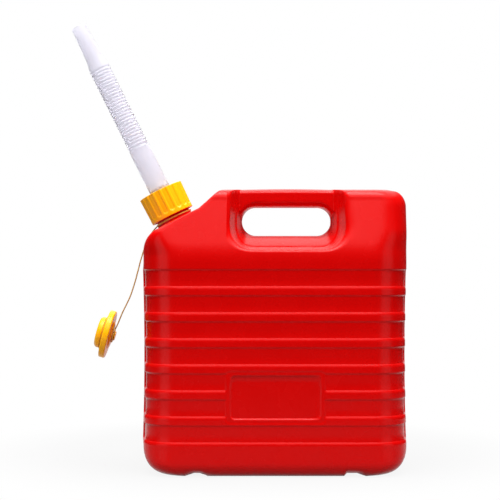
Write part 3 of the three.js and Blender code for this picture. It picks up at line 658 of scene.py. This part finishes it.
def swept(bm, section, line):
    """A closed section of (across, out) points drawn along a line in the XZ plane, across being Y."""
    places = []
    for i, point in enumerate(line):
        along = (line[min(i + 1, len(line) - 1)] - line[max(i - 1, 0)]).normalized()
        place = Matrix((
            (0, -along[1], along[0], point[0]),
            (1, 0, 0, 0),
            (0, along[0], along[1], point[1]),
            (0, 0, 0, 1),
        ))
        places.append(place)
    verts = [bm.verts.new(places[0] @ Vector((a, b, 0))) for a, b in section]
    edges = [bm.edges.new(pair) for pair in zip(verts, verts[1:] + verts[:1])]
    bmesh.ops.edgeloop_fill(bm, edges=edges)
    for before, after in zip(places, places[1:]):
        made = bmesh.ops.extrude_edge_only(bm, edges=edges)["geom"]
        edges = [e for e in made if isinstance(e, bmesh.types.BMEdge)]
        verts = [v for v in made if isinstance(v, bmesh.types.BMVert)]
        bmesh.ops.transform(bm, matrix=after @ before.inverted(), verts=verts)
    bmesh.ops.edgeloop_fill(bm, edges=edges)


strap_section = []
for across, out in ((1, 1), (-1, 1), (-1, -1), (1, -1)):
    corner = Vector((across * STRAP_HALF_WIDTH, out * STRAP_HALF_THICK))
    side = Vector((-across * STRAP_EDGE, 0))
    face = Vector((0, -out * STRAP_EDGE))
    round_corner = [corner + side, corner + STRAP_ROUND * (side + face), corner + face]
    strap_section += round_corner if across * out > 0 else round_corner[::-1]
strap_line = smooth_line(STRAP_LINE, STRAP_STATIONS)
strap_bm = bmesh.new()
swept(strap_bm, strap_section[::-1], strap_line)
strap = finished("strap", strap_bm, tether_plastic)
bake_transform(strap)
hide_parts("tether_strap")

# Spout gasket: a flat black nitrile washer between the neck's rim and the spout's flange.
# It keeps the shape it was drawn with, and gets a dull rubber finish.
black_rubber = moulded("black_rubber", (0.012, 0.012, 0.013), 0.75, 0.3, 0.0, 0.2)
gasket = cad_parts["spout_gasket"]
gasket.data.materials.clear()
gasket.data.materials.append(black_rubber)

# Spout: one thin-walled moulding of frosted polyethylene with a flange, a smooth foot, a corrugated
# middle of 26 ribs that bends, a cone and a plain tapered tip. The collar nut holds its flange down.
FLANGE = (19.8, 34.6, 36.6)
SPOUT_FOOT = 12.0
SPOUT_RADIUS = 12.0
SPOUT_WALL = 1.1
NUT_TOP = 39.9
BELLOWS = (95.9, 190.9)
BELLOWS_RIBS = 26
BELLOWS_DEPTH = 0.9
BELLOWS_WALL = 0.85
CONE_TOP = (9.6, 204.9)
TIP = (8.5, 245.9)
SPOUT_STEPS = 72
RIB_SAMPLES = 8
spout_line = eased([
    (SPOUT_FOOT - SPOUT_WALL, FLANGE[1], 0.3),
    (FLANGE[0], FLANGE[1], 0.3),
    (FLANGE[0], FLANGE[2], 0.3),
    (SPOUT_FOOT, FLANGE[2], 0.4),
    (SPOUT_FOOT, NUT_TOP + 1.5, 2.5),
    (SPOUT_RADIUS, NUT_TOP + 6.5, 4),
    (SPOUT_RADIUS, BELLOWS[0] - 2.5, 1),
    (SPOUT_RADIUS - BELLOWS_DEPTH, BELLOWS[0] - 0.2, 0),
])
rib_points = BELLOWS_RIBS * RIB_SAMPLES
for i in range(1, rib_points):
    swell = (0.5 - 0.5 * math.cos(2 * math.pi * i / RIB_SAMPLES)) ** 0.8
    height = BELLOWS[0] + (BELLOWS[1] - BELLOWS[0]) * i / rib_points
    spout_line.append(Vector((SPOUT_RADIUS - BELLOWS_DEPTH * (1 - swell), height)))
spout_line += eased([
    (SPOUT_RADIUS - BELLOWS_DEPTH, BELLOWS[1] + 0.2, 0),
    (SPOUT_RADIUS, BELLOWS[1] + 1.8, 0.8),
    (CONE_TOP[0], CONE_TOP[1], 4),
    (TIP[0], TIP[1], 0.45),
    (TIP[0] - SPOUT_WALL, TIP[1], 0.45),
    (CONE_TOP[0] - SPOUT_WALL, CONE_TOP[1] - 0.4, 4),
    (SPOUT_RADIUS - SPOUT_WALL, BELLOWS[1] + 1.5, 0.8),
    (SPOUT_RADIUS - BELLOWS_DEPTH - BELLOWS_WALL, BELLOWS[1] + 0.2, 0),
])
for i in range(1, BELLOWS_RIBS):
    height = BELLOWS[1] + (BELLOWS[0] - BELLOWS[1]) * i / BELLOWS_RIBS
    spout_line.append(Vector((SPOUT_RADIUS - BELLOWS_DEPTH - BELLOWS_WALL, height)))
spout_line += eased([
    (SPOUT_RADIUS - BELLOWS_DEPTH - BELLOWS_WALL, BELLOWS[0] - 0.2, 0),
    (SPOUT_RADIUS - SPOUT_WALL, BELLOWS[0] - 2.2, 1),
    (SPOUT_RADIUS - SPOUT_WALL, NUT_TOP + 6.5, 4),
    (SPOUT_FOOT - SPOUT_WALL, NUT_TOP + 1.5, 2.5),
])
spout_bm = bmesh.new()
turned(spout_bm, spout_line, SPOUT_STEPS, neck_place)
frosted = bpy.data.materials.new("frosted_plastic")
frosted.use_nodes = True
frosted_shader = frosted.node_tree.nodes["Principled BSDF"]
frosted_shader.inputs["Base Color"].default_value = (0.84, 0.83, 0.885, 1)
frosted_shader.inputs["Roughness"].default_value = 0.5
frosted_shader.inputs["Transmission Weight"].default_value = 0.85
frosted_shader.inputs["IOR"].default_value = 1.18
spout = finished("spout", spout_bm, frosted)
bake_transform(spout)
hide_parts("spout_base", "spout_bellows", "spout_nozzle")

# Collar nut: an injection-moulded amber nut with 18 grip flutes over a plain rim.
# Its lip holds the spout's flange and gasket down on the neck, and it turns on the neck's thread.
NUT = (9.0, NUT_TOP)
NUT_RADII = (24.75, 25.5)
NUT_BORE = 21.4
NUT_INNER = NUT_BORE + 1.5
NUT_EDGE = 1.2
NUT_ROWS = 40
NUT_LIP = (12.5, 36.9)
FLUTES = 18
FLUTE_DEPTH = 0.8
FLUTE_HALF = 2.9
FLUTE_ENDS = (13.0, 38.6)
FLUTE_EDGE = 0.7
FLUTE_RUN_OUT = 5.0
NUT_STEPS = FLUTES * 16
nut_wall = []
for i in range(NUT_ROWS + 1):
    radius = NUT_RADII[0] + (NUT_RADII[1] - NUT_RADII[0]) * i / NUT_ROWS
    height = NUT[0] + NUT_EDGE + (NUT[1] - NUT[0] - 2 * NUT_EDGE) * i / NUT_ROWS
    nut_wall.append((radius, height))
nut_profile = eased([(NUT_BORE, NUT[0], 0.4), (NUT_RADII[0], NUT[0], 1.1), (*nut_wall[0], 0)])[:-1]
nut_profile += [Vector(p) for p in nut_wall]
nut_profile += eased([
    (*nut_wall[-1], 0), (NUT_RADII[1], NUT[1], 1.1), (NUT_LIP[0], NUT[1], 0.5),
    (NUT_LIP[0], NUT_LIP[1], 0.3), (NUT_BORE, NUT_LIP[1], 0.4), (NUT_BORE, NUT[0], 0),
])[1:-1]
nut_bm = bmesh.new()
pitch = 2 * math.pi / FLUTES
nut_verts = turned(nut_bm, nut_profile, NUT_STEPS, Matrix.Identity(4))
for vert in nut_verts:
    radius = math.hypot(vert.co.x, vert.co.y)
    if radius < NUT_INNER:
        continue
    angle = math.atan2(vert.co.y, vert.co.x)
    across = radius * ((angle + pitch / 2) % pitch - pitch / 2)
    middle = min(max(vert.co.z, FLUTE_ENDS[0] + FLUTE_HALF), FLUTE_ENDS[1] + FLUTE_RUN_OUT)
    gap = math.hypot(across, vert.co.z - middle) - FLUTE_HALF
    sunk = FLUTE_DEPTH * ramp(FLUTE_EDGE, -FLUTE_EDGE, gap) if gap < FLUTE_EDGE else 0.0
    vert.co.x *= (radius - sunk) / radius
    vert.co.y *= (radius - sunk) / radius
bmesh.ops.transform(nut_bm, matrix=neck_place, verts=nut_bm.verts)
amber_plastic = moulded("amber_plastic", (0.9, 0.41, 0.002), 0.28, 0.2, 0.00006, 0.03)
nut = weighted(finished("nut", nut_bm, amber_plastic))
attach(nut, "collar")
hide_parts("collar_nut")

# Stopper: a turned-looking amber moulding with a broad flange, a chamfered plug for the neck's bore
# and, on the other face, a pad with a headed stud that the tether's eyelet turns on.
STOPPER_AT = (-183.8, 0, 149.35)
STOPPER_TURN = math.radians(15.25 - 90)
STOPPER_RADIUS = 27.0
STOPPER_THICK = 7.0
PLUG = (17.45, 9.2, 15.2)
PLUG_CHAMFER = 2.4
SEAL_INNER = 15.65
PAD = (13.0, 17.0, 2.2)
STUD = (3.5, 5.25, 4.1, 5.5)
STOPPER_STEPS = 128
stopper_place = Matrix.Translation(STOPPER_AT) @ Matrix.Rotation(STOPPER_TURN, 4, "Y")
stopper_bm = bmesh.new()
turned(stopper_bm, eased([
    (0, -STUD[3], 0),
    (STUD[1], -STUD[3], 0.8),
    (STUD[1], -STUD[2], 0.4),
    (STUD[0], -STUD[2], 0.3),
    (STUD[0], -PAD[2], 0.3),
    (PAD[0], -PAD[2], 1.6),
    (PAD[1], 0, 0.6),
    (STOPPER_RADIUS, 0, 1.8),
    (STOPPER_RADIUS, STOPPER_THICK, 1.8),
    (SEAL_INNER, STOPPER_THICK, 0.3),
    (SEAL_INNER, PLUG[1], 0.3),
    (PLUG[0], PLUG[1], 0.4),
    (PLUG[0], PLUG[2] - PLUG_CHAMFER, 1.2),
    (PLUG[0] - PLUG_CHAMFER, PLUG[2], 1.2),
    (0, PLUG[2], 0),
]), STOPPER_STEPS, stopper_place, closed=False)
stopper = weighted(finished("stopper_cap", stopper_bm, amber_plastic))
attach(stopper, "stopper")
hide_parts("stopper")

# Stopper seal: a soft amber ring in the groove between the flange and the plug.
# It bulges past the plug so that it closes the neck's bore.
SEAL = (15.95, 18.6, 7.3, 8.9)
SEAL_STEPS = 96
# The seal is darker than the stopper's amber. That is partly the rubber's own tone and partly painted shade for the
# shaded groove it sits in.
amber_rubber = moulded("amber_rubber", (0.55, 0.21, 0.004), 0.6, 0.3, 0.0, 0.05)
seal_bm = bmesh.new()
turned(seal_bm, eased([
    (SEAL[0], SEAL[2], 0.4), (SEAL[1], SEAL[2], 0.75), (SEAL[1], SEAL[3], 0.75), (SEAL[0], SEAL[3], 0.4),
]), SEAL_STEPS, stopper_place)
seal = weighted(finished("seal", seal_bm, amber_rubber))
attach(seal, "stopper")
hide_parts("stopper_seal")

# Eyelet: the strap's ring-shaped end, which turns on the stopper's stud under the stud's head.
# It is moulded in one with the strap.
EYELET = (3.8, 8.0, 2.5, 3.8)
EYELET_EDGE = 0.35
EYELET_STEPS = 64
eyelet_bm = bmesh.new()
turned(eyelet_bm, eased([
    (EYELET[0], -EYELET[3], EYELET_EDGE), (EYELET[1], -EYELET[3], EYELET_EDGE),
    (EYELET[1], -EYELET[2], EYELET_EDGE), (EYELET[0], -EYELET[2], EYELET_EDGE),
]), EYELET_STEPS, stopper_place)
eyelet = weighted(finished("eyelet", eyelet_bm, tether_plastic))
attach(eyelet, "tether_strap")

# Studio: a white floor that keeps the can's shadow, a white background,
# one soft lamp over the can and a tall one on each side.
FLOOR_RADIUS = 800
FLOOR_STEPS = 96
FLOOR_MIDDLE = (-20, 150, 0)
FLOOR_COLOUR = (0.2, 0.2, 0.2, 1)
FLOOR_FADE = (0.2, 0.4)
FLOOR_WHITE = (0.89, 1.0)
DOME_TILT = -0.4
DOME_EDGE = (0.3, 0.5)
DOME_LEVEL = (0.06, 3.2)
BACK_EDGE = (-0.1, 0.4)
BACK_LEVEL = (1.0, 0.6)
BACKDROP_EDGE = (0.3, 0.7)
BEHIND_EDGE = (0.9, 0.98)


def math_node(tree, operation, *values):
    """Result of a math node that is fed with sockets or plain numbers."""
    node = tree.nodes.new("ShaderNodeMath")
    node.operation = operation
    for socket, value in zip(node.inputs, values):
        if isinstance(value, float):
            socket.default_value = value
        else:
            tree.links.new(value, socket)
    return node.outputs["Value"]


def smooth_range(tree, value, source, target=(0.0, 1.0)):
    """Result of a smooth step over the source range, carried to the target range."""
    node = tree.nodes.new("ShaderNodeMapRange")
    node.interpolation_type = "SMOOTHSTEP"
    for socket, number in zip(("From Min", "From Max", "To Min", "To Max"), (*source, *target)):
        node.inputs[socket].default_value = number
    tree.links.new(value, node.inputs["Value"])
    return node.outputs["Result"]


def mixed_shader(tree, share, first, second, output):
    """Mixes two shaders and sends them to the output node."""
    node = tree.nodes.new("ShaderNodeMixShader")
    for socket, value in zip(node.inputs, (share, first, second)):
        tree.links.new(value, socket)
    tree.links.new(node.outputs["Shader"], tree.nodes[output].inputs["Surface"])


white = bpy.data.materials.new("studio_white")
white.use_nodes = True
white_tree = white.node_tree
white_shader = white_tree.nodes["Principled BSDF"]
white_shader.inputs["Base Color"].default_value = FLOOR_COLOUR
white_shader.inputs["Roughness"].default_value = 0.9
white_shader.inputs["Specular IOR Level"].default_value = 0
white_glow = white_tree.nodes.new("ShaderNodeEmission")
white_glow.inputs["Strength"].default_value = 1.0
white_place = white_tree.nodes.new("ShaderNodeTexCoord")
white_reach = white_tree.nodes.new("ShaderNodeVectorMath")
white_reach.operation = "DISTANCE"
white_reach.inputs[1].default_value = [c / 1000 for c in FLOOR_MIDDLE]
white_tree.links.new(white_place.outputs["Object"], white_reach.inputs[0])
white_far = smooth_range(white_tree, white_reach.outputs["Value"], FLOOR_FADE, FLOOR_WHITE)
white_rays = white_tree.nodes.new("ShaderNodeLightPath").outputs
white_shown = math_node(white_tree, "MAXIMUM", white_rays["Is Camera Ray"], white_rays["Is Glossy Ray"])
white_shown = math_node(white_tree, "MAXIMUM", white_shown, white_rays["Is Transmission Ray"])
white_share = math_node(white_tree, "MULTIPLY", white_shown, white_far)
white_ends = (white_shader.outputs["BSDF"], white_glow.outputs["Emission"])
mixed_shader(white_tree, white_share, *white_ends, "Material Output")
floor_bm = bmesh.new()
bmesh.ops.create_circle(
    floor_bm, cap_ends=True, segments=FLOOR_STEPS, radius=FLOOR_RADIUS, matrix=Matrix.Translation(FLOOR_MIDDLE),
)
floor = finished("floor", floor_bm, white)

world = bpy.data.worlds.new("studio")
scene.world = world
world.use_nodes = True
world_tree = world.node_tree
dome = world_tree.nodes["Background"]
dome.inputs["Color"].default_value = (1, 1, 1, 1)
seen = world_tree.nodes.new("ShaderNodeBackground")
seen.inputs["Color"].default_value = (1, 1, 1, 1)
seen.inputs["Strength"].default_value = 1.0
direction = world_tree.nodes.new("ShaderNodeTexCoord")
parts = world_tree.nodes.new("ShaderNodeSeparateXYZ")
world_tree.links.new(direction.outputs["Generated"], parts.inputs["Vector"])
rays = world_tree.nodes.new("ShaderNodeLightPath").outputs
aside = math_node(world_tree, "ABSOLUTE", parts.outputs["X"])
lower = math_node(world_tree, "MULTIPLY_ADD", aside, DOME_TILT, parts.outputs["Z"])
rise = smooth_range(world_tree, lower, DOME_EDGE, DOME_LEVEL)
fall = smooth_range(world_tree, parts.outputs["Y"], BACK_EDGE, BACK_LEVEL)
level = math_node(world_tree, "MULTIPLY", rise, fall)
backdrop = smooth_range(world_tree, parts.outputs["Y"], BACKDROP_EDGE)
lit = math_node(world_tree, "MULTIPLY_ADD", backdrop, rays["Is Diffuse Ray"], level)
world_tree.links.new(lit, dome.inputs["Strength"])
behind = smooth_range(world_tree, parts.outputs["Y"], BEHIND_EDGE)
shown = math_node(world_tree, "MULTIPLY", behind, rays["Is Glossy Ray"])
shown = math_node(world_tree, "MAXIMUM", shown, rays["Is Transmission Ray"])
shown = math_node(world_tree, "MAXIMUM", shown, rays["Is Camera Ray"])
mixed_shader(world_tree, shown, dome.outputs["Background"], seen.outputs["Background"], "World Output")

for name, at, aim, size, power in (
    ("top_softbox", (0, -0.25, 1.5), (0, 0, 0.2), (1.2, 1.0), 30),
    ("left_softbox", (-1.4, -1.15, 0.25), (0, 0, 0.2), (1.1, 1.4), 5.4),
    ("right_softbox", (1.4, -1.15, 0.25), (0, 0, 0.2), (1.1, 1.4), 4.2),
):
    lamp_data = bpy.data.lights.new(name, "AREA")
    lamp_data.shape = "ELLIPSE"
    lamp_data.size = size[0]
    lamp_data.size_y = size[1]
    lamp_data.energy = power
    lamp = bpy.data.objects.new(name, lamp_data)
    lamp.location = at
    lamp.rotation_euler = (Vector(aim) - Vector(at)).to_track_quat("-Z", "Y").to_euler()
    scene.collection.objects.link(lamp)

scene.view_settings.view_transform = "Standard"
